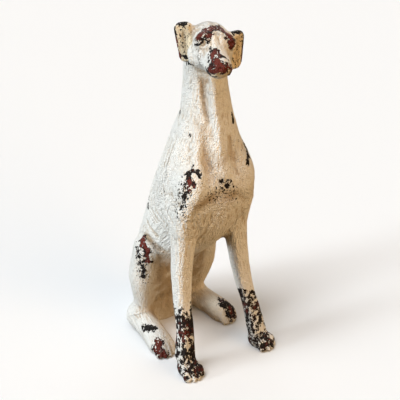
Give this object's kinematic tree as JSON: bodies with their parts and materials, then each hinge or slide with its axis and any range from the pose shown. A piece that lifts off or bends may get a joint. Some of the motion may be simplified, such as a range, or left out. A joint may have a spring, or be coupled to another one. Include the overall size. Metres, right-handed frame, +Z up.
{
  "type": "sitting dog sculpture",
  "caption": "Cast sculpture of a slim sitting hound with drop ears, forelegs upright and head turned, in worn cream paint; stands on its paws and seat.",
  "frame": {"origin": "middle of the bounding box at floor level", "axes": "+Z up, the hound looks along -Y, its left side is +X"},
  "size_m": [0.2028, 0.3232, 0.6015],
  "materials": {
    "worn_paint": "matt cream paint worn through to black and red-brown undercoats over cast resin"
  },
  "bodies": {
    "root": {"sitting_hound": "worn_paint"}
  },
  "joints": []
}
